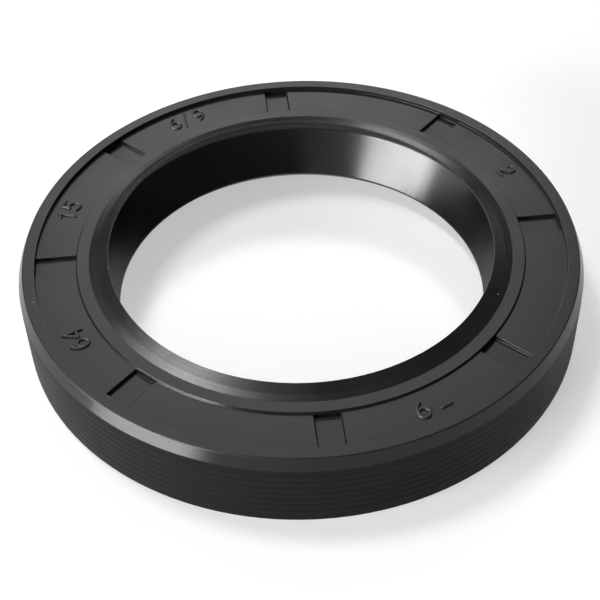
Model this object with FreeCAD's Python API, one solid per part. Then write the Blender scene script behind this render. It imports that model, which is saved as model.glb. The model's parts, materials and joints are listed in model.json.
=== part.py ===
"""Radial shaft seal: a moulded rubber ring with a sealing lip, a dust lip and a ribbed outside.

Three pieces: the rubber body, the pressed steel ring that it is moulded around, and the
garter spring that closes the sealing lip on the shaft. Every section is drawn as radius and
height in millimetres and revolved about the shaft axis. The origin is the centre of the
underside, which faces the oil. +Z points out of the air side.
"""
import FreeCAD
import Part

import math
import os

# Main sizes: shaft, housing bore and width
shaft_diameter = 32.0
housing_diameter = 47.0
width = 7.0

# Sealing lip: it is smaller than the shaft when free
lip_interference = 0.8
lip_height = 1.57
lip_land = 0.15
air_side_angle = 29.0
oil_side_angle = 46.0
nose_height = 0.7
nose_rounding = 0.2
nose_wall = 0.3

# Garter spring and its groove behind the lip
spring_coil_diameter = 1.5
spring_clearance = 0.03
spring_seat_wall = 1.32
spring_offset = 0.28
groove_mouth_low = -70.0
groove_mouth_high = 75.0

# Flexing wall between the lip and the fixed rubber
shoulder_drop = 0.5
flex_wall = 0.95
flex_angle = 25.0
flex_rounding = 0.5

# Dust lip on the air side
dust_lip_clearance = 0.05
dust_lip_rise = 0.3
dust_lip_land = 0.15
dust_lip_reach = 1.55
dust_lip_root = 0.55
grease_groove_rounding = 1.0

# Raised land that carries the dust lip, and the channel around it
land_width = 1.0
land_drop = 0.17
land_draft_angle = 12.0
channel_depth = 0.35
rim_width = 1.0

# Rectangular pads left in the channel where the steel ring was held in the mould
pad_count = 8
pad_width = 2.1
pad_depth = 0.4
pad_first_angle = 5.1

# Ribbed outside with its lead-in chamfer
chamfer_height = 1.0
chamfer_width = 0.45
rim_rounding = 0.1
rib_height = 0.04
rib_pitch = 0.665
rib_band_height = 0.9
rib_band_drop = 0.44
foot_chamfer = 0.3
bore_chamfer = 0.2

# Steel ring with an L-shaped section, and the rubber around it
steel_thickness = 0.9
bend_radius = 0.5
outer_skin = 0.8
inner_skin = 0.5
ceiling_skin = 0.45
pad_film = 0.2
hinge_width = 1.12
steel_foot_height = 0.4

# Radii and heights that follow from the sizes above
lip_radius = (shaft_diameter - lip_interference) / 2
dust_lip_radius = shaft_diameter / 2 + dust_lip_clearance
outer_radius = housing_diameter / 2
rim_radius = outer_radius - chamfer_width
channel_outer_radius = rim_radius - rim_width
land_inner_radius = dust_lip_radius + dust_lip_reach
land_outer_radius = land_inner_radius + land_width
channel_height = width - channel_depth
land_height = width - land_drop
land_foot_radius = land_outer_radius + (land_height - channel_height) * math.tan(math.radians(land_draft_angle))
pad_height = channel_height - pad_depth
steel_outer_radius = outer_radius - outer_skin
steel_inner_radius = steel_outer_radius - steel_thickness
cavity_radius = steel_inner_radius - inner_skin
flange_top = pad_height - pad_film
flange_bottom = flange_top - steel_thickness
flange_inner_radius = land_inner_radius + hinge_width
cavity_height = flange_bottom - ceiling_skin
spring_radius = spring_coil_diameter / 2
groove_radius = spring_radius + spring_clearance
spring_circle_radius = lip_radius + spring_seat_wall + groove_radius
spring_height = lip_height + spring_offset
valley_radius = outer_radius - rib_height


def at(radius, height):
    """A point of a section."""
    return FreeCAD.Vector(radius, 0, height)


def on_groove(degrees):
    """A point of the spring groove's arc, by its angle about the middle of the coil."""
    turn = math.radians(degrees)
    return at(
        spring_circle_radius + groove_radius * math.cos(turn),
        spring_height + groove_radius * math.sin(turn),
    )


def meeting_point(first, first_direction, second, second_direction):
    """Where two lines of a section cross, each given by a point and a direction."""
    cross = first_direction.x * second_direction.z - first_direction.z * second_direction.x
    gap = second - first
    along = (gap.x * second_direction.z - gap.z * second_direction.x) / cross
    return first + first_direction * along


def rounded_path(corners):
    """Straight edges through corners of (point, rounding), with a tangent arc at each rounding."""
    edges = []
    start = corners[0][0]
    for before, (corner, rounding), after in zip(corners, corners[1:], corners[2:]):
        if rounding == 0:
            edges.append(Part.makeLine(start, corner))
            start = corner
            continue
        back = (before[0] - corner).normalize()
        ahead = (after[0] - corner).normalize()
        half_angle = back.getAngle(ahead) / 2
        reach = rounding / math.tan(half_angle)
        towards_centre = (back + ahead).normalize()
        middle = corner + towards_centre * (rounding / math.sin(half_angle) - rounding)
        first = corner + back * reach
        last = corner + ahead * reach
        edges.append(Part.makeLine(start, first))
        edges.append(Part.Arc(first, middle, last).toShape())
        start = last
    edges.append(Part.makeLine(start, corners[-1][0]))
    return edges


def revolved(edges):
    """The solid that a closed section makes about the shaft axis."""
    wire = Part.Wire(Part.__sortEdges__(edges))
    face = Part.Face(wire)
    return face.revolve(FreeCAD.Vector(0, 0, 0), FreeCAD.Vector(0, 0, 1), 360)


def air_side_corners():
    """From the top of the sealing lip up the air-side cone, round the dust lip, to the channel's rim."""
    cone_start = at(lip_radius, lip_height + lip_land)
    cone_angle = math.radians(air_side_angle)
    cone_direction = FreeCAD.Vector(math.sin(cone_angle), 0, math.cos(cone_angle))
    tip_top = at(dust_lip_radius, width + dust_lip_rise)
    tip_bottom = at(dust_lip_radius, tip_top.z - dust_lip_land)
    root_top = at(land_inner_radius, land_height)
    root_bottom = at(land_inner_radius, land_height - dust_lip_root)
    groove = meeting_point(cone_start, cone_direction, tip_bottom, root_bottom - tip_bottom)
    return [
        (at(lip_radius, lip_height), 0),
        (cone_start, 0),
        (groove, grease_groove_rounding),
        (tip_bottom, 0),
        (tip_top, 0),
        (root_top, 0),
        (at(land_outer_radius, land_height), 0),
        (at(land_foot_radius, channel_height), 0),
        (at(channel_outer_radius, channel_height), 0),
        (at(channel_outer_radius, width), 0),
        (at(rim_radius, width), rim_rounding),
        (at(valley_radius, width - chamfer_height), 0),
    ]


def rib_edges(top, bottom):
    """Round ribs down the outside, between the foot of the chamfer and the foot of the outside."""
    band = top.z - rib_band_drop - rib_band_height
    rib_count = round(band / rib_pitch)
    first = rib_band_height + (band - rib_count * rib_pitch) / 2
    edges = [Part.makeLine(bottom, at(valley_radius, first))]
    for index in range(rib_count):
        low = first + index * rib_pitch
        crest = at(outer_radius, low + rib_pitch / 2)
        edges.append(Part.Arc(at(valley_radius, low), crest, at(valley_radius, low + rib_pitch)).toShape())
    edges.append(Part.makeLine(at(valley_radius, first + rib_count * rib_pitch), top))
    return edges


def underside_corners():
    """From the outside's foot, across the underside and up the oil-side cavity to the spring groove."""
    groove_end = on_groove(groove_mouth_high)
    cone_slope = math.tan(math.radians(air_side_angle))
    shoulder_height = groove_end.z + shoulder_drop
    flex_foot = at(lip_radius + (shoulder_height - lip_height) * cone_slope + flex_wall, shoulder_height)
    flex_slope = math.tan(math.radians(flex_angle))
    flex_top = at(flex_foot.x + (cavity_height - shoulder_height) * flex_slope, cavity_height)
    return [
        (at(valley_radius, foot_chamfer), 0),
        (at(valley_radius - foot_chamfer, 0), 0),
        (at(cavity_radius + bore_chamfer, 0), 0),
        (at(cavity_radius, bore_chamfer), 0),
        (at(cavity_radius, cavity_height), flex_rounding),
        (flex_top, flex_rounding),
        (flex_foot, 0),
        (groove_end, 0),
    ]


def spring_groove_edge():
    """The arc of the groove that holds the spring, open away from the shaft."""
    return Part.Arc(on_groove(groove_mouth_high), on_groove(180.0), on_groove(groove_mouth_low)).toShape()


def nose_corners():
    """From the mouth of the spring groove round the nose to the edge of the sealing lip."""
    groove_end = on_groove(groove_mouth_low)
    oil_slope = math.tan(math.radians(oil_side_angle))
    nose_inner_radius = lip_radius + (lip_height - nose_height) * oil_slope
    return [
        (groove_end, 0),
        (at(groove_end.x, nose_height), nose_wall),
        (at(nose_inner_radius, nose_height), nose_rounding),
        (at(lip_radius, lip_height), 0),
    ]


def steel_section(foot):
    """L-shaped section of the steel ring, with its lower end at the given height."""
    return rounded_path([
        (at(steel_outer_radius, foot), 0),
        (at(steel_outer_radius, flange_top), bend_radius + steel_thickness),
        (at(flange_inner_radius, flange_top), 0),
        (at(flange_inner_radius, flange_bottom), 0),
        (at(steel_inner_radius, flange_bottom), bend_radius),
        (at(steel_inner_radius, foot), 0),
        (at(steel_outer_radius, foot), 0),
    ])


def channel_pads():
    """Cutters for the pads: square-sided pockets between the land and the rim."""
    depth = channel_height - pad_height
    outer = Part.makeCylinder(channel_outer_radius, depth, at(0, pad_height))
    inner = Part.makeCylinder(land_foot_radius, depth, at(0, pad_height))
    ring = outer.cut(inner)
    bar = Part.makeBox(outer_radius, pad_width, depth, FreeCAD.Vector(0, -pad_width / 2, pad_height))
    pads = []
    for index in range(pad_count):
        turned = bar.copy()
        angle = pad_first_angle + index * 360.0 / pad_count
        turned.rotate(FreeCAD.Vector(0, 0, 0), FreeCAD.Vector(0, 0, 1), angle)
        pads.append(turned.common(ring))
    return pads


def rubber_body():
    """The moulded rubber: both lips, the channelled air side, the ribbed outside and the cavity."""
    air_side = air_side_corners()
    underside = underside_corners()
    edges = rounded_path(air_side)
    edges += rib_edges(air_side[-1][0], underside[0][0])
    edges += rounded_path(underside)
    edges.append(spring_groove_edge())
    edges += rounded_path(nose_corners())
    body = revolved(edges)
    steel_pocket = revolved(steel_section(-steel_foot_height))
    return body.cut(steel_pocket).cut(channel_pads())


def stiffening_ring():
    """The pressed steel ring inside the rubber, seen only at its lower end."""
    return revolved(steel_section(steel_foot_height))


def garter_spring():
    """The closed coil spring, as the round ring that its windings fill."""
    return Part.makeTorus(spring_circle_radius, spring_radius, at(0, spring_height))


def main():
    os.makedirs("parts", exist_ok=True)
    rubber_body().exportStep("parts/rubber_body.step")
    stiffening_ring().exportStep("parts/stiffening_ring.step")
    garter_spring().exportStep("parts/garter_spring.step")


main()
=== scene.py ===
"""Looks of a radial shaft seal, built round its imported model.

The moulded rubber is one surface: a rounded section carried round the shaft axis, with pockets let into
its channel. The garter spring is a wire wound into a ring, and the steel ring keeps its own solid.
"""
import json
import math
from collections import namedtuple

import bpy
import numpy as np
from bpy.props import FloatProperty, FloatVectorProperty, IntProperty, PointerProperty
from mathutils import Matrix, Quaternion, Vector


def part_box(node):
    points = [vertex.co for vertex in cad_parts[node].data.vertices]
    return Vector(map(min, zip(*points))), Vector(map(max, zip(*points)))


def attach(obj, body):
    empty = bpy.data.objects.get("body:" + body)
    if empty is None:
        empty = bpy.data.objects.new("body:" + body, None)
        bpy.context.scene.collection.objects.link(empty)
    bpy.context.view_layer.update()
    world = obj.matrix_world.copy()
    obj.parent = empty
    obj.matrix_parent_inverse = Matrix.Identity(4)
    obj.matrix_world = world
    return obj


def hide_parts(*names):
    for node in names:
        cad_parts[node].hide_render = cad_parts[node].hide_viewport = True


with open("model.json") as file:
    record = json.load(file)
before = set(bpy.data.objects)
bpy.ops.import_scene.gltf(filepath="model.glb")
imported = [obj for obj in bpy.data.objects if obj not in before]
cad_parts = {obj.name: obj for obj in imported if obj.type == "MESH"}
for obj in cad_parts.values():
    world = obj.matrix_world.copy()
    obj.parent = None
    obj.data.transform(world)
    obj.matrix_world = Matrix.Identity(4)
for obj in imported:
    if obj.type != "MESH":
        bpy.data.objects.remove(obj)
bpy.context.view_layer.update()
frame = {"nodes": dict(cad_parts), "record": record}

bl_info = {
    "name": "Radial Shaft Seal",
    "version": (1, 0, 0),
    "blender": (4, 5, 0),
    "location": "3D View > Sidebar > Shaft Seal",
    "description": "Builds the moulded rubber, the wound spring and the studio of a radial shaft seal",
    "category": "Object",
}

MM = 0.001
RUBBER_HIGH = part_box("rubber_body")[1]
STEEL_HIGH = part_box("stiffening_ring")[1]
COIL_LOW, COIL_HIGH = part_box("garter_spring")
MOUNTS = {mount["name"]: mount for mount in frame["record"]["mounts"]}

OUTER_RADIUS = RUBBER_HIGH.x
TIP_HEIGHT = RUBBER_HIGH.z
RIM_HEIGHT = MOUNTS["air_side_rim"]["pos_m"][2]
LIP_RADIUS = MOUNTS["shaft_bore"]["dims"]["r_mm"] * MM
LIP_LAND = MOUNTS["shaft_bore"]["dims"]["length_mm"] * MM
LIP_HEIGHT = MOUNTS["shaft_bore"]["pos_m"][2] - LIP_LAND / 2
STEEL_RADIUS = STEEL_HIGH.x
FLANGE_TOP = STEEL_HIGH.z
COIL_RADIUS = (COIL_HIGH.z - COIL_LOW.z) / 2
COIL_CIRCLE = COIL_HIGH.x - COIL_RADIUS
COIL_HEIGHT = (COIL_HIGH.z + COIL_LOW.z) / 2

# How far under the channel's floor and beyond its sides a point still moves with the channel
CHANNEL_MARGIN_DOWN = 0.1 * MM
CHANNEL_MARGIN_ASIDE = 0.2 * MM

# Waves of the dust lip round the ring: their count, their share and where they start, in radians
LIP_WAVES = ((2, 0.6, 2.2), (3, 0.4, 0.4))

# A corner of a section, with the rounding's radius and the number of its mesh steps
Corner = namedtuple("Corner", "radius height rounding steps", defaults=(0.0, 3))


def length(name, description, millimetres):
    """A length property, given in millimetres and kept in metres."""
    metres = millimetres * MM
    return FloatProperty(name=name, description=description, default=metres, unit="LENGTH", precision=5)


def turn(name, description, degrees):
    """An angle property, given in degrees and kept in radians."""
    radians = math.radians(degrees)
    return FloatProperty(name=name, description=description, default=radians, subtype="ANGLE")


def factor(name, description, share):
    """A plain number between 0 and 1."""
    return FloatProperty(
        name=name, description=description, default=share, min=0.0, max=1.0, subtype="FACTOR"
    )


def strength(name, description, value):
    """A brightness, where 1 is white."""
    return FloatProperty(name=name, description=description, default=value, min=0.0)


def colour(name, description, rgb):
    """A colour property in linear light."""
    rgba = (*rgb, 1.0)
    return FloatVectorProperty(name=name, description=description, default=rgba, size=4, subtype="COLOR")


class SealSection(bpy.types.PropertyGroup):
    """Sizes of the moulded rubber's section."""

    air_side_angle: turn("Air side angle", "Slope of the sealing lip towards the air side", 29.0)
    oil_side_angle: turn("Oil side angle", "Slope of the sealing lip towards the oil", 46.0)
    nose_height: length("Nose height", "Height of the lip's lower end above the underside", 0.7)
    nose_rounding: length("Nose rounding", "Rounding of the nose on the shaft's side", 0.2)
    nose_wall_rounding: length("Nose wall rounding", "Rounding of the nose on the spring's side", 0.3)
    spring_clearance: length("Spring clearance", "Room between the spring and its groove", 0.03)
    mouth_low: turn("Lower mouth", "Where the spring groove ends below", -70.0)
    mouth_high: turn("Upper mouth", "Where the spring groove ends above", 75.0)
    shoulder_drop: length("Shoulder", "Height of the slope above the spring groove", 0.5)
    flex_wall: length("Flexing wall", "Thickness of the wall between lip and fixed rubber", 0.95)
    flex_angle: turn("Flexing wall angle", "Slope of that wall inside the cavity", 25.0)
    flex_rounding: length("Cavity rounding", "Rounding at the cavity's upper corners", 0.5)
    lip_stretch: length("Lip stretch", "How much further out the shaft is than the free sealing lip", 0.4)
    dust_lip_clearance: length("Dust lip clearance", "Gap between dust lip and shaft", 0.05)
    dust_lip_land: length("Dust lip land", "Height of the dust lip's edge", 0.15)
    dust_lip_reach: length("Dust lip reach", "Width of the dust lip from root to edge", 1.55)
    dust_lip_root: length("Dust lip root", "Thickness of the dust lip at its root", 0.55)
    dust_lip_sag: length("Dust lip sag", "How far the dust lip's top hangs below a straight slope", 0.04)
    sag_place: factor("Sag place", "How far from the dust lip's root to its edge it hangs lowest", 0.4)
    sag_rounding: length("Sag rounding", "Rounding where the dust lip's top hangs lowest", 1.0)
    groove_rounding: length("Grease groove rounding", "Rounding between sealing lip and dust lip", 1.0)
    land_width: length("Land width", "Width of the flat that carries the dust lip", 1.0)
    land_drop: length("Land drop", "How far the land lies under the rim", 0.17)
    land_draft: turn("Land draft", "Slope of the land's outer wall", 27.0)
    land_wall_row: factor("Land wall row", "How far down that wall its middle mesh row runs", 0.6)
    channel_depth: length("Channel depth", "Depth of the channel under the rim", 0.35)
    rim_width: length("Rim width", "Width of the rim's flat top", 1.0)
    chamfer_width: length("Chamfer width", "How far the lead-in chamfer runs in", 0.45)
    chamfer_height: length("Chamfer height", "How far the lead-in chamfer runs down", 1.0)
    rim_rounding: length("Rim rounding", "Rounding of the rim's outer edge", 0.1)
    edge_rounding: length("Edge rounding", "Rounding of the other moulded edges", 0.05)
    rib_height: length("Rib height", "Height of the ribs on the outside", 0.02)
    rib_pitch: length("Rib pitch", "Distance from rib to rib", 0.665)
    rib_band_drop: length("Plain band above ribs", "Height of the plain band under the chamfer", 0.44)
    rib_band_foot: length("Plain band below ribs", "Height of the plain band at the foot", 0.9)
    foot_chamfer: length("Foot chamfer", "Chamfer at the outside's foot", 0.3)
    bore_chamfer: length("Bore chamfer", "Chamfer at the cavity's mouth", 0.2)
    steel_thickness: length("Steel thickness", "Thickness of the steel ring in its pocket", 0.9)
    steel_bend: length("Steel bend", "Inner radius of the steel ring's bend", 0.5)
    flange_reach: length("Flange reach", "How far the steel flange runs in past the cavity wall", 3.08)
    inner_skin: length("Inner skin", "Rubber between steel and cavity", 0.5)
    ceiling_skin: length("Ceiling skin", "Rubber under the steel flange", 0.45)
    lip_wave: length("Lip wave", "How far the soft dust lip strays from a true circle", 0.1)
    lip_wave_depth: length("Lip wave depth", "How far under the rim the dust lip strays", 0.68)


class SealPads(bpy.types.PropertyGroup):
    """Sizes of the pockets in the channel."""

    count: IntProperty(name="Count", description="Number of pockets round the channel", default=8, min=1)
    first: turn("First", "Where the first pocket stands", 5.1)
    width: length("Width", "Width between the parallel sides", 2.1)
    depth: length("Depth", "Depth under the channel's floor", 0.3)
    draft: length("Draft", "How far a side leans over its height", 0.05)
    margin: length("Margin", "Where the plain floor's mesh begins beside a pocket", 0.3)
    plain_columns: IntProperty(
        name="Plain columns", description="Mesh columns from pocket to pocket", default=15, min=4
    )


class SealNumerals(bpy.types.PropertyGroup):
    """Sizes of the raised numerals."""

    height: length("Height", "Height of a numeral", 1.5)
    stroke: length("Stroke", "Width of a stroke", 0.24)
    relief: length("Relief", "How far a stroke stands up", 0.17)
    foot: length("Foot", "How far a stroke reaches under the floor", 0.0425)
    feet_radius: length("Feet radius", "Radius on which the numerals stand", 19.75)


class SealSpring(bpy.types.PropertyGroup):
    """Sizes of the wound garter spring."""

    wire: length("Wire", "Thickness of the spring's wire", 0.3)
    pitch: length("Pitch", "Distance from turn to turn", 0.36)


class SealFinish(bpy.types.PropertyGroup):
    """Colours and gloss."""

    rubber: colour("Rubber", "Black nitrile rubber", (0.009, 0.009, 0.0091))
    # The outside colour is the same rubber made darker. It is painted shade on the outer wall and the
    # lead-in chamfer, which lie in shade.
    outside: colour("Outside", "The same rubber on the outside, free of bloom", (0.0055, 0.0055, 0.0056))
    rubber_sheen: factor("Rubber sheen", "Strength of the top side's mirror reflection", 0.4)
    lead_in_sheen: factor("Lead-in sheen", "Strength of the lead-in chamfer's mirror reflection", 0.4)
    outside_sheen: factor("Outside sheen", "Strength of the ribbed outside's mirror reflection", 0.085)
    rubber_roughness: factor("Rubber roughness", "Roughness of the moulded skin", 0.35)
    dust_lip_roughness: factor("Dust lip roughness", "Roughness of the dust lip's top", 0.27)
    land_wall_roughness: factor("Land wall roughness", "Roughness of the land's outer wall", 0.2)
    lead_in_roughness: factor("Lead-in roughness", "Roughness of the lead-in chamfer", 0.2)
    outside_roughness: factor("Outside roughness", "Roughness of the ribbed outside", 0.5)
    rubber_polish: factor("Lip roughness", "Roughness of the polished sealing lip", 0.2)
    dust: colour("Dust", "Pale dust on the rubber", (0.55, 0.55, 0.54))
    phosphate: colour("Phosphated steel", "Grey phosphate skin of the steel ring", (0.2, 0.2, 0.205))
    steel_roughness: factor("Steel roughness", "Roughness of the phosphate skin", 0.5)
    wire: colour("Spring wire", "Drawn spring steel", (0.5, 0.5, 0.5))
    wire_roughness: factor("Wire roughness", "Roughness of the drawn wire", 0.355)


class SealStage(bpy.types.PropertyGroup):
    """Camera, floor and lamps."""

    camera_distance: length("Camera distance", "From the camera to the middle of the rim plane", 109.747)
    camera_elevation: turn("Camera elevation", "Height of the camera above the horizon", 41.949)
    camera_lens: FloatProperty(
        name="Lens", description="Focal length in millimetres", default=78.8, unit="CAMERA"
    )
    camera_roll: turn("Camera roll", "Turn of the picture about its middle", -1.64)
    aim_x: length("Aim across", "How far to the right of the axis the camera points", -0.14)
    aim_y: length("Aim along", "How far beyond the axis the camera points", -6.986)
    floor_colour: colour("Floor", "Pale floor", (0.62, 0.62, 0.62))
    floor_roughness: factor("Floor roughness", "Roughness of the floor's lacquer", 0.22)
    floor_size: length("Floor size", "Half width of the floor", 2500.0)
    floor_white: strength("Floor white", "White added where the floor near the seal is seen", 0.48)
    near_floor: length("Near floor", "How far out the floor gets only that white", 250.0)
    far_floor: length("Far floor", "How far out the floor is wholly white", 750.0)
    room_light: strength("Room light", "Strength of the even light of the room", 0.15)


def rounded_line(corners, support):
    """Points along straight sides through corners, with a tangent arc at each corner that has a rounding.

    An arc leaves the sides at rounding / tan(half angle) from its corner, and its centre lies on the
    bisector at rounding / sin(half angle). Each corner has a further point on either side, so that flat
    stretches shade flat. The first and the last corner stay sharp.
    """
    places = np.array([(corner.radius, corner.height) for corner in corners])
    pieces = [places[:1]]
    for before, place, after, corner in zip(places, places[1:], places[2:], corners[1:]):
        back = (before - place) / np.linalg.norm(before - place)
        ahead = (after - place) / np.linalg.norm(after - place)
        half_angle = math.acos(np.clip(back @ ahead, -1.0, 1.0)) / 2
        reach = corner.rounding / math.tan(half_angle)
        bisector = (back + ahead) / np.linalg.norm(back + ahead)
        centre = place + bisector * corner.rounding / math.sin(half_angle)
        share = np.linspace(-1.0, 1.0, corner.steps + 1)[:, None] * (math.pi / 2 - half_angle)
        sideways = (ahead - back) / np.linalg.norm(ahead - back)
        arc = centre + corner.rounding * (np.sin(share) * sideways - np.cos(share) * bisector)
        bend = arc if corner.rounding else [place]
        pieces += [[place + back * (reach + support)], bend, [place + ahead * (reach + support)]]
    pieces.append(places[-1:])
    return np.concatenate(pieces)


def crossing(first, first_slope, second, second_slope):
    """Where two lines of a section cross, each a point (radius, height) and its radius per height.

    Each line is carried down to height 0 first. They cross where their radii, which differ there, have
    grown equal.
    """
    first_start = first[0] - first_slope * first[1]
    second_start = second[0] - second_slope * second[1]
    height = (second_start - first_start) / (first_slope - second_slope)
    return first_start + first_slope * height, height


def dust_tip_radius(form):
    """The dust lip ends a clearance outside the shaft, which is wider than the free sealing lip."""
    return LIP_RADIUS + form.lip_stretch + form.dust_lip_clearance


def channel_edges(form):
    """The radii of the two upper edges of the channel: the land's and the rim's."""
    land_radius = dust_tip_radius(form) + form.dust_lip_reach + form.land_width
    return land_radius, OUTER_RADIUS - form.chamfer_width - form.rim_width


def air_side(form, floor_height):
    """The section from the sealing edge up to the dust lip, over land and channel to the chamfer.

    In a pocket only the foot of the land's wall and the floor lie lower, so the wall has a middle row.
    """
    tip_radius = dust_tip_radius(form)
    tip_bottom = TIP_HEIGHT - form.dust_lip_land
    root_radius = tip_radius + form.dust_lip_reach
    land_height = RIM_HEIGHT - form.land_drop
    channel_height = RIM_HEIGHT - form.channel_depth
    land_radius, rim_inner = channel_edges(form)
    land_foot = land_radius + (land_height - channel_height) * math.tan(form.land_draft)
    rim_radius = rim_inner + form.rim_width
    valley = OUTER_RADIUS - form.rib_height
    cone_slope = math.tan(form.air_side_angle)
    under_slope = form.dust_lip_reach / (land_height - form.dust_lip_root - tip_bottom)
    cone_top = (LIP_RADIUS, LIP_HEIGHT + LIP_LAND)
    groove = crossing(cone_top, cone_slope, (tip_radius, tip_bottom), under_slope)
    sag_radius = root_radius + form.sag_place * (tip_radius - root_radius)
    sag_height = land_height + form.sag_place * (TIP_HEIGHT - land_height) - form.dust_lip_sag
    row_height = land_height - form.land_wall_row * (land_height - channel_height)
    if floor_height < channel_height:
        row_height = channel_height
    row_radius = land_radius + (land_height - row_height) * math.tan(form.land_draft)
    edge = form.edge_rounding
    return [
        Corner(LIP_RADIUS, LIP_HEIGHT + LIP_LAND / 2),
        Corner(*cone_top, edge / 2, steps=2),
        Corner(*groove, form.groove_rounding, steps=12),
        Corner(tip_radius, tip_bottom, edge),
        Corner(tip_radius, TIP_HEIGHT, edge, steps=4),
        Corner(sag_radius, sag_height, form.sag_rounding, steps=6),
        Corner(root_radius, land_height, 2 * edge),
        Corner(land_radius, land_height, edge / 3),
        Corner(row_radius, row_height),
        Corner(land_foot, floor_height, edge / 3),
        Corner(rim_inner, floor_height, edge),
        Corner(rim_inner, RIM_HEIGHT, edge),
        Corner(rim_radius, RIM_HEIGHT, form.rim_rounding, steps=5),
        Corner(valley, RIM_HEIGHT - form.chamfer_height, 2 * edge),
        Corner(valley, RIM_HEIGHT - form.chamfer_height - form.rib_band_drop),
    ]


def rib_wave(form, steps=6):
    """The ribbed band, going down, with one turn for each rib.

    Its radius is the outer radius less rib height * (1 + cos(turns)) / 2.
    """
    top = RIM_HEIGHT - form.chamfer_height - form.rib_band_drop
    count = round((top - form.rib_band_foot) / form.rib_pitch)
    share = np.linspace(0.0, 1.0, count * steps + 1)
    radius = OUTER_RADIUS - form.rib_height * (1 + np.cos(share * count * 2 * math.pi)) / 2
    return np.stack([radius, top - share * count * form.rib_pitch], 1)


def oil_side(form):
    """The section from the outside's foot over the steel pocket and the cavity to the spring groove.

    The last corner lies inside the groove. It only aims the rounding at the groove's mouth.
    """
    valley = OUTER_RADIUS - form.rib_height
    edge = form.edge_rounding
    steel_inner = STEEL_RADIUS - form.steel_thickness
    cavity = steel_inner - form.inner_skin
    flange_bottom = FLANGE_TOP - form.steel_thickness
    flange_inner = steel_inner - form.flange_reach
    ceiling = flange_bottom - form.ceiling_skin
    groove_radius = COIL_RADIUS + form.spring_clearance
    mouth = (
        COIL_CIRCLE + groove_radius * math.cos(form.mouth_high),
        COIL_HEIGHT + groove_radius * math.sin(form.mouth_high),
    )
    shoulder = mouth[1] + form.shoulder_drop
    flex_foot = LIP_RADIUS + (shoulder - LIP_HEIGHT) * math.tan(form.air_side_angle) + form.flex_wall
    flex_top = flex_foot + (ceiling - shoulder) * math.tan(form.flex_angle)
    return [
        Corner(valley, form.rib_band_foot),
        Corner(valley, form.foot_chamfer, edge),
        Corner(valley - form.foot_chamfer, 0.0, edge),
        Corner(STEEL_RADIUS, 0.0, edge / 2, steps=2),
        Corner(STEEL_RADIUS, FLANGE_TOP, form.steel_bend + form.steel_thickness, steps=6),
        Corner(flange_inner, FLANGE_TOP),
        Corner(flange_inner, flange_bottom),
        Corner(steel_inner, flange_bottom, form.steel_bend, steps=4),
        Corner(steel_inner, 0.0, edge / 2, steps=2),
        Corner(cavity + form.bore_chamfer, 0.0, edge),
        Corner(cavity, form.bore_chamfer, edge),
        Corner(cavity, ceiling, form.flex_rounding, steps=5),
        Corner(flex_top, ceiling, form.flex_rounding, steps=5),
        Corner(flex_foot, shoulder, 2 * edge),
        Corner(*mouth, edge),
        Corner(COIL_CIRCLE, mouth[1] - 4 * edge),
    ]


def spring_groove(form, steps=14):
    """The groove's arc about the middle of the coil, from its upper mouth round to its lower one."""
    angles = np.linspace(form.mouth_high, form.mouth_low + 2 * math.pi, steps + 1)
    radius = COIL_RADIUS + form.spring_clearance
    return np.stack([COIL_CIRCLE + radius * np.cos(angles), COIL_HEIGHT + radius * np.sin(angles)], 1)


def nose(form):
    """The section from the groove's lower mouth round the nose to the sealing edge."""
    groove_end = spring_groove(form)[-1]
    nose_inner = LIP_RADIUS + (LIP_HEIGHT - form.nose_height) * math.tan(form.oil_side_angle)
    return [
        Corner(*groove_end),
        Corner(groove_end[0], form.nose_height, form.nose_wall_rounding, steps=6),
        Corner(nose_inner, form.nose_height, form.nose_rounding, steps=5),
        Corner(LIP_RADIUS, LIP_HEIGHT, form.edge_rounding / 2, steps=2),
        Corner(LIP_RADIUS, LIP_HEIGHT + LIP_LAND / 2),
    ]


def rubber_section(form, floor_height):
    """The whole closed section of the rubber as an array of (radius, height).

    Each stretch leaves out the end that the next one begins with, or the one that only aimed a rounding.
    """
    support = form.edge_rounding / 2
    return np.concatenate([
        rounded_line(air_side(form, floor_height), support)[:-1],
        rib_wave(form)[:-1],
        rounded_line(oil_side(form), support)[:-2],
        spring_groove(form)[:-1],
        rounded_line(nose(form), support)[:-1],
    ])


def channel_columns(form, pads):
    """Where the mesh columns stand about one pocket.

    The section across the pocket, from its middle line out, gives each column's offset along the channel
    and its share of the pocket's depth. The other half is its mirror image.
    """
    edge = form.edge_rounding
    half = pads.width / 2
    side = rounded_line([
        Corner(0.0, -pads.depth),
        Corner(half - pads.draft, -pads.depth, edge),
        Corner(half, 0.0, edge),
        Corner(half + pads.margin, 0.0),
    ], edge / 2)
    offset, drop = side.T
    return np.concatenate([-offset[:0:-1], offset]), np.concatenate([-drop[:0:-1], -drop]) / pads.depth


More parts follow.
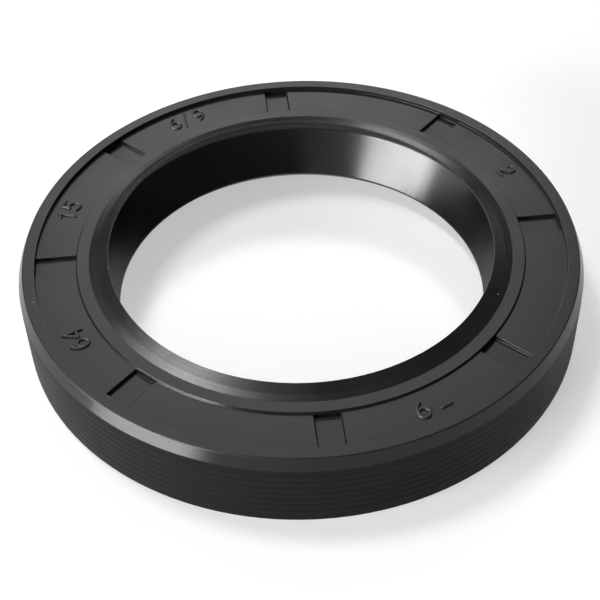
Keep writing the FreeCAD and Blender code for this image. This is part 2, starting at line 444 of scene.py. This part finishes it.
def rubber_points(form, pads):
    """The rubber's surface as an array [column, point of the section, xyz].

    A point is the channel's section and the pocket's section mixed by the column's share of the depth. In
    the channel a column near a pocket keeps its distance from the pocket's middle line, and the columns
    beyond are spread evenly up to the middle between two pockets.
    """
    channel_height = RIM_HEIGHT - form.channel_depth
    plain = rubber_section(form, channel_height)
    sunk = rubber_section(form, channel_height - pads.depth)
    offset, share = channel_columns(form, pads)
    sector = 2 * math.pi / pads.count
    land_radius, rim_inner = channel_edges(form)
    middle = (land_radius + rim_inner) / 2
    between = np.linspace(0.0, 1.0, pads.plain_columns + 1)[1:-1]
    share = np.concatenate([share, np.zeros(between.size)])[:, None]
    section = (1 - share)[:, :, None] * plain + share[:, :, None] * sunk
    radius, height = section[:, :, 0], section[:, :, 1]
    above_floor = plain[:, 1] > channel_height - CHANNEL_MARGIN_DOWN
    in_channel = above_floor & (abs(plain[:, 0] - middle) < rim_inner - middle + CHANNEL_MARGIN_ASIDE)
    reference = np.where(in_channel, radius, middle)
    near = np.arcsin(offset[:, None] / reference[: offset.size])
    edge_angle = near[-1:]
    far = edge_angle + between[:, None] * (sector - 2 * edge_angle)
    local = np.concatenate([near, far])
    local = local[None] + pads.first + sector * np.arange(pads.count)[:, None, None]
    angle = local.reshape(-1, plain.shape[0])
    radius = np.tile(radius, (pads.count, 1))
    height = np.tile(height, (pads.count, 1))
    radius = radius + lip_wave(form, angle, radius, height)
    return np.stack([radius * np.cos(angle), radius * np.sin(angle), height], 2)


def lip_wave(form, angle, radius, height):
    """How far the soft dust lip strays: cosine waves round the ring that grow evenly from root to edge."""
    wave = sum(share * np.cos(count * angle + start) for count, share, start in LIP_WAVES)
    root = dust_tip_radius(form) + form.dust_lip_reach
    softness = np.clip((root - radius) / form.dust_lip_reach, 0, 1)
    return form.lip_wave * wave * softness * (height > RIM_HEIGHT - form.lip_wave_depth)


def grid_faces(rows, columns, close_rows, close_columns):
    """Corner numbers of the four-sided faces of a grid, row by row, going round where a side is closed."""
    row = np.arange(rows - (not close_rows))[:, None]
    column = np.arange(columns - (not close_columns))[None]
    next_row, next_column = (row + 1) % rows, (column + 1) % columns
    around = ((row, column), (row, next_column), (next_row, next_column), (next_row, column))
    return np.stack([(down * columns + across).ravel() for down, across in around], 1)


def mesh_object(name, points, faces):
    """A smooth mesh object at the origin, from an array of points and lists of corner numbers."""
    mesh = bpy.data.meshes.new(name)
    mesh.from_pydata(points.reshape(-1, 3).tolist(), [], faces)
    mesh.polygons.foreach_set("use_smooth", np.ones(len(faces), dtype=bool))
    mesh.update()
    piece = bpy.data.objects.new(name, mesh)
    bpy.context.scene.collection.objects.link(piece)
    return piece


def spring_points(spring, steps_per_turn=14, sides=6):
    """The wire's surface as an array [step along the wire, point round the wire, xyz].

    The wire's middle runs round the coil while the coil runs round the shaft:
    radius = circle + coil * cos(t), height = middle + coil * sin(t), with t going through all turns in
    one round. Each step carries a small circle square to the wire.
    """
    turns = round(2 * math.pi * COIL_CIRCLE / spring.pitch)
    along = np.linspace(0.0, 2 * math.pi, turns * steps_per_turn + 1)[:-1, None]
    winding = along * turns
    coil = COIL_RADIUS - spring.wire / 2
    outward = np.concatenate([np.cos(along), np.sin(along), 0 * along], 1)
    upward = np.array([[0.0, 0.0, 1.0]])
    away = np.cos(winding) * outward + np.sin(winding) * upward
    middle = COIL_CIRCLE * outward + COIL_HEIGHT * upward + coil * away
    forward = np.roll(middle, -1, 0) - np.roll(middle, 1, 0)
    forward /= np.linalg.norm(forward, axis=1, keepdims=True)
    across = np.cross(forward, away)
    about = np.linspace(0.0, 2 * math.pi, sides + 1)[None, :-1, None]
    circle = np.cos(about) * away[:, None] + np.sin(about) * across[:, None]
    return middle[:, None] + spring.wire / 2 * circle


def bow(middle_x, middle_y, half_width, half_height, start, end, steps=24):
    """A stretch of an ellipse in a numeral's own box, from one angle to another, in degrees."""
    angles = np.radians(np.linspace(start, end, steps + 1))
    return np.stack([middle_x + half_width * np.cos(angles), middle_y + half_height * np.sin(angles)], 1)


def dash(start_x, start_y, end_x, end_y, steps=4):
    """A straight stroke in a numeral's own box."""
    return np.linspace((start_x, start_y), (end_x, end_y), steps + 1)


# Strokes of each sign, in a box that is 1 high
GLYPHS = {
    "1": [dash(0.1, 0.78, 0.32, 1.0), dash(0.32, 1.0, 0.32, 0.0)],
    "2": [bow(0.3, 0.72, 0.28, 0.28, 165, -35), dash(0.52, 0.56, 0.02, 0.0), dash(0.02, 0.0, 0.58, 0.0)],
    "4": [dash(0.44, 0.0, 0.44, 1.0), dash(0.44, 1.0, 0.0, 0.3), dash(0.0, 0.3, 0.6, 0.3)],
    "5": [dash(0.54, 1.0, 0.1, 1.0), dash(0.1, 1.0, 0.06, 0.56), bow(0.28, 0.33, 0.28, 0.33, 130, -150)],
    "6": [bow(0.3, 0.3, 0.28, 0.3, 0, 360), bow(0.62, 0.36, 0.6, 0.64, 180, 112)],
    "9": [bow(0.3, 0.7, 0.28, 0.3, 0, 360), bow(-0.02, 0.64, 0.6, 0.64, 0, -68)],
    "-": [dash(0.0, 0.82, 0.55, 0.82)],
    "/": [dash(0.0, -0.1, 0.4, 1.1)],
}
GLYPH_WIDTH = 0.6
GLYPH_STEP = 0.82

# What stands on the channel's floor, and at how many degrees round it
MARKS = (("2", 26.0), ("6/9", 120.0), ("15", 165.5), ("64", 210.5), ("9", 295.0), ("-", 300.0))


def stroke_points(path, floor_height, numerals, end_steps=4, end_turn=80.0, round_steps=8):
    """A raised stroke as an array [step along the path, point round its section, xyz].

    The section is half an ellipse over a flat foot under the floor. It is carried along the path, and
    past each end it shrinks by cos(t) while the path runs on by sin(t), which rounds the end, up to
    t = end_turn in degrees.
    """
    ahead = np.gradient(path, axis=0)
    ahead /= np.linalg.norm(ahead, axis=1, keepdims=True)
    half = numerals.stroke / 2
    closing = np.linspace(math.radians(end_turn), 0.0, end_steps + 1)[:-1, None]
    middle = np.concatenate([
        path[:1] - ahead[:1] * half * np.sin(closing),
        path,
        (path[-1:] + ahead[-1:] * half * np.sin(closing))[::-1],
    ])
    size = np.concatenate([np.cos(closing), np.ones((len(path), 1)), np.cos(closing)[::-1]])
    ahead = np.pad(ahead, ((end_steps, end_steps), (0, 0)), mode="edge")
    side = np.stack([-ahead[:, 1], ahead[:, 0]], 1)
    about = np.linspace(0.0, math.pi, round_steps + 1)
    across = np.concatenate([np.cos(about), [-1.0, 1.0]]) * half
    above = np.concatenate([np.sin(about) * numerals.relief, [-numerals.foot] * 2])
    flat = middle[:, None] + (side * size)[:, None] * across[None, :, None]
    height = floor_height + np.where(above > 0, above * size, above)
    return np.concatenate([flat, height[:, :, None]], 2)


def bend_to_ring(points, start_angle, feet_radius):
    """Lays flat lettering on the ring: across becomes a clockwise turn, and up becomes outwards."""
    angle = start_angle - points[..., 0] / feet_radius
    radius = feet_radius + points[..., 1]
    return np.stack([radius * np.cos(angle), radius * np.sin(angle), points[..., 2]], -1)


class Value:
    """A shader value. Arithmetic on it adds Math nodes to the shader."""

    def __init__(self, shader, socket):
        self.shader = shader
        self.socket = socket

    def math(self, operation, *values):
        """Adds a Math node that takes these values."""
        return self.shader.value("ShaderNodeMath", {"operation": operation}, dict(enumerate(values)))

    def __add__(self, other):
        return self.math("ADD", self, other)

    def __sub__(self, other):
        return self.math("SUBTRACT", self, other)

    def __rsub__(self, other):
        return self.math("SUBTRACT", other, self)

    def __mul__(self, other):
        return self.math("MULTIPLY", self, other)

    def __truediv__(self, other):
        return self.math("DIVIDE", self, other)

    def __pow__(self, other):
        return self.math("POWER", self, other)

    __radd__ = __add__
    __rmul__ = __mul__

    def fall(self, start, end):
        """1 before start, 0 after end, and smooth between them."""
        return 1 - self.rise(start, end)

    def rise(self, start, end):
        """0 before start, 1 after end, and smooth between them."""
        smooth = {"interpolation_type": "SMOOTHSTEP"}
        inputs = {"Value": self, "From Min": start, "From Max": end}
        return self.shader.value("ShaderNodeMapRange", smooth, inputs, "Result")


class Shader:
    """The node tree of a material or of the world."""

    def __init__(self, owner, output):
        owner.use_nodes = True
        self.tree = owner.node_tree
        self.tree.nodes.clear()
        self.output = self.node(output)

    def node(self, kind, settings=None, inputs=None):
        """Adds a node: first its settings, then the values or links of its sockets."""
        made = self.tree.nodes.new(kind)
        for name, setting in (settings or {}).items():
            setattr(made, name, setting)
        for name, value in (inputs or {}).items():
            value = value.socket if isinstance(value, Value) else value
            if isinstance(value, bpy.types.NodeSocket):
                self.tree.links.new(value, made.inputs[name])
            else:
                made.inputs[name].default_value = value
        return made

    def value(self, kind, settings=None, inputs=None, output=0):
        """Adds a node and gives one of its outputs as a value."""
        return Value(self, self.node(kind, settings, inputs).outputs[output])

    def mix(self, share, first, second):
        """A colour between two colours."""
        return self.value("ShaderNodeMix", {"data_type": "RGBA"}, {0: share, 6: first, 7: second}, 2)

    def noise(self, place, per_metre, detail=2.0):
        """Cloudy noise between 0 and 1, with so many waves in a metre."""
        inputs = {"Vector": place, "Scale": per_metre, "Detail": detail}
        return self.value("ShaderNodeTexNoise", None, inputs, "Fac")

    def bump(self, relief, depth, share):
        """Fine relief as a normal: a share of what a relief of this depth would give."""
        inputs = {"Height": relief, "Distance": depth, "Strength": share}
        return self.value("ShaderNodeBump", None, inputs)

    def finish(self, surface):
        """Joins the last shader to the output."""
        self.tree.links.new(surface.socket, self.output.inputs["Surface"])


def new_material(name):
    """An empty material, its shader, and the place on the surface."""
    material = bpy.data.materials.new(name)
    shader = Shader(material, "ShaderNodeOutputMaterial")
    return material, shader, shader.value("ShaderNodeTexCoord", output="Object")


def height_and_radius(shader, place):
    """The height of a place over the underside, and its distance from the shaft axis."""
    axes = shader.node("ShaderNodeSeparateXYZ", None, {"Vector": place})
    across, along, height = (Value(shader, socket) for socket in axes.outputs)
    return height, (across * across + along * along) ** 0.5


def shade(rgba, share):
    """A colour made darker or paler."""
    return [part * share for part in rgba[:3]] + [1.0]


def vary(middle, noise, spread):
    """A value that follows a noise about its middle."""
    return middle + (noise - 0.5) * spread


# Where the sealing lip's polish fades: under its edge, up its cone and away from the cone
POLISH_UNDER_EDGE = (-0.1 * MM, 0.0)
POLISH_UP_CONE = (3.4 * MM, 4.2 * MM)
POLISH_OFF_CONE = (0.1 * MM, 0.22 * MM)


def rubber_zones(form, height, radius):
    """Shares from 0 to 1, each a smooth step of height or radius, that tell the rubber's zones apart.

    They are the lead-in chamfer with the outside, the outside alone, the dust lip, the land's outer wall
    and the polished sealing lip.
    """
    edge = form.edge_rounding
    chamfer_top = OUTER_RADIUS - form.chamfer_width
    chamfer_foot = RIM_HEIGHT - form.chamfer_height
    lead_in = radius.rise(chamfer_top, chamfer_top + form.rim_rounding)
    outside = lead_in * height.fall(chamfer_foot - edge, chamfer_foot + edge)
    slope_foot = dust_tip_radius(form) + form.dust_lip_reach
    dust_lip = radius.fall(slope_foot - edge, slope_foot + edge)
    land_radius = channel_edges(form)[0]
    wall_foot = land_radius + (form.channel_depth - form.land_drop) * math.tan(form.land_draft)
    land_wall = radius.rise(land_radius - edge, land_radius) * radius.fall(wall_foot, wall_foot + edge)
    up_cone = height - LIP_HEIGHT
    off_cone = radius - LIP_RADIUS - up_cone * math.tan(form.air_side_angle)
    polished = up_cone.rise(*POLISH_UNDER_EDGE) * up_cone.fall(*POLISH_UP_CONE)
    return lead_in, outside, dust_lip, land_wall, polished * off_cone.fall(*POLISH_OFF_CONE)


def dust_specks(shader, place, cells_per_metre=700.0, size=(0.035, 0.06), luck=(0.93, 0.935)):
    """1 on a speck of dust: the middle of a cell, in the few cells whose chance colour is high enough."""
    cells = shader.node("ShaderNodeTexVoronoi", None, {"Vector": place, "Scale": cells_per_metre})
    chance = shader.node("ShaderNodeSeparateColor", None, {"Color": cells.outputs["Color"]})
    middle = Value(shader, cells.outputs["Distance"]).fall(*size)
    return middle * Value(shader, chance.outputs[0]).rise(*luck)


def rubber_material(form, finish):
    """Black moulded rubber: satin with a fine grain, a polished lip, faint mould rings and dust."""
    material, shader, place = new_material("moulded_rubber")
    height, radius = height_and_radius(shader, place)
    lead_in, outside, dust_lip, land_wall, polished = rubber_zones(form, height, radius)
    grain = shader.noise(place, per_metre=9000.0, detail=3.0)
    cloud = shader.noise(place, per_metre=260.0, detail=3.0)
    along_radius = {"W": radius, "Scale": 6000.0}
    rings = shader.value("ShaderNodeTexNoise", {"noise_dimensions": "1D"}, along_radius, "Fac")
    cloudy_tone = shader.mix(cloud.rise(0.3, 0.7), shade(finish.rubber, 0.85), shade(finish.rubber, 1.15))
    # The lead-in chamfer and the outside take the darker outside colour, which is painted shade.
    tone = shader.mix(lead_in, cloudy_tone, tuple(finish.outside))
    skin = finish.rubber_roughness + dust_lip * (finish.dust_lip_roughness - finish.rubber_roughness)
    skin = skin + land_wall * (finish.land_wall_roughness - finish.rubber_roughness)
    skin = skin + lead_in * (finish.lead_in_roughness - finish.rubber_roughness)
    skin = skin + outside * (finish.outside_roughness - finish.lead_in_roughness)
    skin = vary(vary(skin, cloud, spread=0.16), rings, spread=0.06)
    polish = vary(finish.rubber_polish, cloud, spread=0.08)
    grain_left = 1 - polished * 0.8
    relief = grain * grain_left + rings * 0.4
    look = {
        "Base Color": shader.mix(dust_specks(shader, place), tone, tuple(finish.dust)),
        "Roughness": skin * (1 - polished) + polish * polished,
        "Normal": shader.bump(relief, depth=0.006 * MM, share=0.25),
    }
    top, chamfer, side = (
        shader.value("ShaderNodeBsdfPrincipled", None, {**look, "Specular IOR Level": sheen})
        for sheen in (finish.rubber_sheen, finish.lead_in_sheen, finish.outside_sheen)
    )
    moulded = shader.value("ShaderNodeMixShader", None, {0: lead_in, 1: top, 2: chamfer})
    shader.finish(shader.value("ShaderNodeMixShader", None, {0: outside, 1: moulded, 2: side}))
    return material


def steel_material(finish):
    """Phosphated steel: dull grey crystals of changing tone."""
    material, shader, place = new_material("phosphated_steel")
    crystals = shader.noise(place, per_metre=12000.0, detail=4.0)
    cloud = shader.noise(place, per_metre=500.0)
    dark = shade(finish.phosphate, 0.6)
    surface = shader.value("ShaderNodeBsdfPrincipled", None, {
        "Base Color": shader.mix((crystals + cloud) / 2, dark, tuple(finish.phosphate)),
        "Metallic": 0.8,
        "Roughness": vary(finish.steel_roughness, crystals, spread=0.3),
        "Normal": shader.bump(crystals, depth=0.004 * MM, share=0.3),
    })
    shader.finish(surface)
    return material


def wire_material(finish):
    """Drawn spring wire: bright steel with an oily, cloudy sheen."""
    material, shader, place = new_material("drawn_wire")
    streaks = shader.noise(place, per_metre=8000.0)
    cloud = shader.noise(place, per_metre=600.0)
    surface = shader.value("ShaderNodeBsdfPrincipled", None, {
        "Base Color": shader.mix(cloud, shade(finish.wire, 0.7), tuple(finish.wire)),
        "Metallic": 1.0,
        "Roughness": vary(finish.wire_roughness, streaks, spread=0.15),
        "Normal": shader.bump(streaks, depth=0.002 * MM, share=0.2),
    })
    shader.finish(surface)
    return material


def seen_directly(shader):
    """1 for rays from the camera, a mirror or glass, and 0 for the rays that light things."""
    rays = shader.node("ShaderNodeLightPath")
    names = ("Is Camera Ray", "Is Glossy Ray", "Is Transmission Ray")
    camera, gloss, glass = (Value(shader, rays.outputs[name]) for name in names)
    return camera.math("MAXIMUM", camera.math("MAXIMUM", camera, gloss), glass)


def floor_material(stage):
    """A pale lacquered floor, with white added where it is seen: some near the seal, and more far out."""
    material, shader, place = new_material("pale_floor")
    radius = height_and_radius(shader, place)[1]
    board = shader.value("ShaderNodeBsdfPrincipled", None, {
        "Base Color": tuple(stage.floor_colour),
        "Roughness": stage.floor_roughness,
    })
    far_out = radius.rise(stage.near_floor, stage.far_floor)
    added = stage.floor_white + far_out * (1 - stage.floor_white)
    white = shader.value("ShaderNodeEmission", None, {"Strength": seen_directly(shader) * added})
    front = shader.value("ShaderNodeAddShader", None, {0: board, 1: white})
    clear = shader.value("ShaderNodeBsdfTransparent")
    underneath = shader.value("ShaderNodeNewGeometry", output="Backfacing")
    shader.finish(shader.value("ShaderNodeMixShader", None, {0: underneath, 1: front, 2: clear}))
    return material


def light_room(stage):
    """Even grey light all round."""
    world = bpy.data.worlds.new("studio_room")
    bpy.context.scene.world = world
    shader = Shader(world, "ShaderNodeOutputWorld")
    shader.finish(shader.value("ShaderNodeBackground", None, {"Strength": stage.room_light}))


# Each lamp's name, its azimuth, elevation, width and height in degrees, and its radiance
LAMPS = (
    ("key_softbox", 214.0, 10.0, 38.0, 19.0, 27.0),
    ("side_softbox", 181.0, 10.0, 20.0, 10.0, 2.5),
    ("overhead_softbox", 142.0, 64.0, 14.0, 14.0, 24.0),
    ("back_softbox", 91.0, 41.0, 23.0, 14.0, 4.6),
    ("horizon_softbox", 77.0, 8.0, 12.0, 12.0, 3.0),
    ("right_softbox", 50.0, 20.0, 22.0, 20.0, 0.5),
    ("left_softbox", 108.0, 21.0, 14.0, 8.0, 2.4),
    ("near_softbox", 251.0, 16.0, 30.0, 7.0, 1.1),
)
LAMP_DISTANCE = 1200 * MM

# In millimetres, as the focal length is
SENSOR_WIDTH = 36.0


def softbox(name, azimuth, elevation, width, height, radiance):
    """A rectangular lamp that points at the seal. Its width and height are angles seen from the seal.

    Its power is pi * radiance * width * height, the power of an evenly bright rectangle.
    """
    lamp = bpy.data.lights.new(name, "AREA")
    lamp.shape = "RECTANGLE"
    lamp.size = 2 * LAMP_DISTANCE * math.tan(math.radians(width / 2))
    lamp.size_y = 2 * LAMP_DISTANCE * math.tan(math.radians(height / 2))
    lamp.energy = math.pi * radiance * lamp.size * lamp.size_y
    holder = bpy.data.objects.new(name, lamp)
    flat = math.cos(math.radians(elevation))
    direction = Vector((
        math.cos(math.radians(azimuth)) * flat,
        math.sin(math.radians(azimuth)) * flat,
        math.sin(math.radians(elevation)),
    ))
    holder.location = direction * LAMP_DISTANCE + Vector((0, 0, RIM_HEIGHT))
    holder.rotation_mode = "QUATERNION"
    holder.rotation_quaternion = direction.to_track_quat("Z", "Y")
    bpy.context.scene.collection.objects.link(holder)
    return holder


def place_camera(stage):
    """The camera at the photograph's angle, aimed at its point and rolled about its line of sight."""
    camera = bpy.data.cameras.new("camera")
    camera.lens = stage.camera_lens
    camera.sensor_width = SENSOR_WIDTH
    camera.clip_start = MM
    holder = bpy.data.objects.new("camera", camera)
    back = Vector((0.0, -math.cos(stage.camera_elevation), math.sin(stage.camera_elevation)))
    holder.location = Vector((0, 0, RIM_HEIGHT)) + back * stage.camera_distance
    aim = Vector((stage.aim_x, stage.aim_y, RIM_HEIGHT))
    holder.rotation_mode = "QUATERNION"
    level = (aim - holder.location).to_track_quat("-Z", "Y")
    holder.rotation_quaternion = level @ Quaternion((0.0, 0.0, 1.0), stage.camera_roll)
    bpy.context.scene.collection.objects.link(holder)
    bpy.context.scene.camera = holder


def one_material(piece, material):
    """The piece wears this material alone."""
    piece.data.materials.clear()
    piece.data.materials.append(material)


class SEAL_OT_rubber_body(bpy.types.Operator):
    """Build the moulded rubber with its lips, pockets and ribs"""

    bl_idname = "seal.rubber_body"
    bl_label = "Moulded Rubber"

    def execute(self, context):
        scene = context.scene
        points = rubber_points(scene.seal_section, scene.seal_pads)
        columns, rows = points.shape[:2]
        faces = grid_faces(columns, rows, True, True).tolist()
        piece = mesh_object("moulded_rubber", points, faces)
        one_material(piece, rubber_material(scene.seal_section, scene.seal_finish))
        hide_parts("rubber_body")
        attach(piece, "root")
        return {"FINISHED"}


class SEAL_OT_numerals(bpy.types.Operator):
    """Build the raised numerals on the channel's floor"""

    bl_idname = "seal.numerals"
    bl_label = "Raised Numerals"

    def execute(self, context):
        scene = context.scene
        numerals = scene.seal_numerals
        floor_height = RIM_HEIGHT - scene.seal_section.channel_depth
        points, faces, start = [], [], 0
        for text, angle in MARKS:
            middle = ((len(text) - 1) * GLYPH_STEP + GLYPH_WIDTH) / 2
            for index, glyph in enumerate(text):
                for path in GLYPHS[glyph]:
                    flat = (path + (index * GLYPH_STEP - middle, 0.0)) * numerals.height
                    stroke = stroke_points(flat, floor_height, numerals)
                    rows, columns = stroke.shape[:2]
                    first_cap = start + np.arange(columns)
                    faces += (grid_faces(rows, columns, False, True) + start).tolist()
                    faces += [first_cap[::-1].tolist(), (first_cap + (rows - 1) * columns).tolist()]
                    ringed = bend_to_ring(stroke, math.radians(angle), numerals.feet_radius)
                    points.append(ringed.reshape(-1, 3))
                    start += rows * columns
        piece = mesh_object("raised_numerals", np.concatenate(points), faces)
        one_material(piece, bpy.data.materials["moulded_rubber"])
        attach(piece, "root")
        return {"FINISHED"}


class SEAL_OT_spring(bpy.types.Operator):
    """Build the garter spring as one wound wire"""

    bl_idname = "seal.spring"
    bl_label = "Garter Spring"

    def execute(self, context):
        scene = context.scene
        points = spring_points(scene.seal_spring)
        steps, about = points.shape[:2]
        piece = mesh_object("wound_spring", points, grid_faces(steps, about, True, True).tolist())
        one_material(piece, wire_material(scene.seal_finish))
        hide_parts("garter_spring")
        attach(piece, "root")
        return {"FINISHED"}


class SEAL_OT_steel_ring(bpy.types.Operator):
    """Give the steel ring its phosphated finish"""

    bl_idname = "seal.steel_ring"
    bl_label = "Steel Ring"

    def execute(self, context):
        one_material(frame["nodes"]["stiffening_ring"], steel_material(context.scene.seal_finish))
        return {"FINISHED"}


class SEAL_OT_stage(bpy.types.Operator):
    """Build the floor, the lamps, the room light and the camera"""

    bl_idname = "seal.stage"
    bl_label = "Stage"

    def execute(self, context):
        stage = context.scene.seal_stage
        context.scene.view_settings.view_transform = "Standard"
        half = stage.floor_size
        corners = np.array([(-half, -half, 0.0), (half, -half, 0.0), (half, half, 0.0), (-half, half, 0.0)])
        floor = mesh_object("floor", corners, [(0, 1, 2, 3)])
        one_material(floor, floor_material(stage))
        for lamp in LAMPS:
            softbox(*lamp)
        light_room(stage)
        place_camera(stage)
        return {"FINISHED"}


STEPS = (SEAL_OT_rubber_body, SEAL_OT_numerals, SEAL_OT_spring, SEAL_OT_steel_ring, SEAL_OT_stage)
GROUPS = {
    "seal_section": SealSection,
    "seal_pads": SealPads,
    "seal_numerals": SealNumerals,
    "seal_spring": SealSpring,
    "seal_finish": SealFinish,
    "seal_stage": SealStage,
}


class SEAL_PT_panel(bpy.types.Panel):
    """Sizes, finishes and building steps of the shaft seal"""

    bl_idname = "SEAL_PT_panel"
    bl_label = "Shaft Seal"
    bl_space_type = "VIEW_3D"
    bl_region_type = "UI"
    bl_category = "Shaft Seal"

    def draw(self, context):
        for step in STEPS:
            self.layout.operator(step.bl_idname)
        for name in GROUPS:
            box = self.layout.box()
            group = getattr(context.scene, name)
            for field in group.__annotations__:
                box.prop(group, field)


def register():
    for kind in (*GROUPS.values(), *STEPS, SEAL_PT_panel):
        bpy.utils.register_class(kind)
    for name, group in GROUPS.items():
        setattr(bpy.types.Scene, name, PointerProperty(type=group))


def unregister():
    for name in GROUPS:
        delattr(bpy.types.Scene, name)
    for kind in (SEAL_PT_panel, *reversed(STEPS), *reversed(GROUPS.values())):
        bpy.utils.unregister_class(kind)


def main():
    """Builds everything in order."""
    register()
    for step in STEPS:
        family, name = step.bl_idname.split(".")
        getattr(getattr(bpy.ops, family), name)()


if __name__ == "__main__":
    main()
